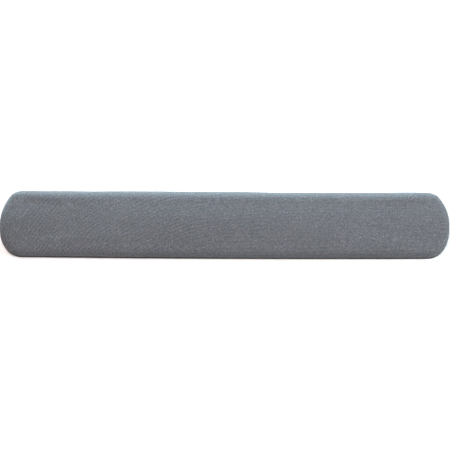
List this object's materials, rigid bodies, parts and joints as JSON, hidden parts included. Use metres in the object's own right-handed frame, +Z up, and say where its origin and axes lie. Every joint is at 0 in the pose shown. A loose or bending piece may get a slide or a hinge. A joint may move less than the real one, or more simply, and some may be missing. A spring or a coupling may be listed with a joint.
{
  "type": "wrist rest",
  "caption": "Long low keyboard wrist rest: a crowned gel and foam pad under a grey stretch-knit cover, with a stiffening board and a thin non-slip rubber base.",
  "frame": {"origin": "middle of the flat underside, on the surface the rest stands on", "axes": "+X along the length to the user's right, +Y towards the keyboard, which is the straight side, +Z up"},
  "size_m": [0.4826, 0.0732, 0.019],
  "materials": {
    "cover_knit": "matte",
    "base_rubber": "matte",
    "bond_foam": "matte",
    "tape": "satin",
    "board": "satin",
    "foam": "matte",
    "film": "gloss",
    "gel": "satin"
  },
  "bodies": {
    "root": {"base_sheet": "base_rubber", "base_bond_sheet": "bond_foam", "hem_tape": "tape", "stiffener_board": "board", "foam_bed": "foam", "gel_film_lower": "film", "gel_pad": "gel", "gel_film_upper": "film", "knit_cover": "cover_knit"}
  },
  "joints": []
}
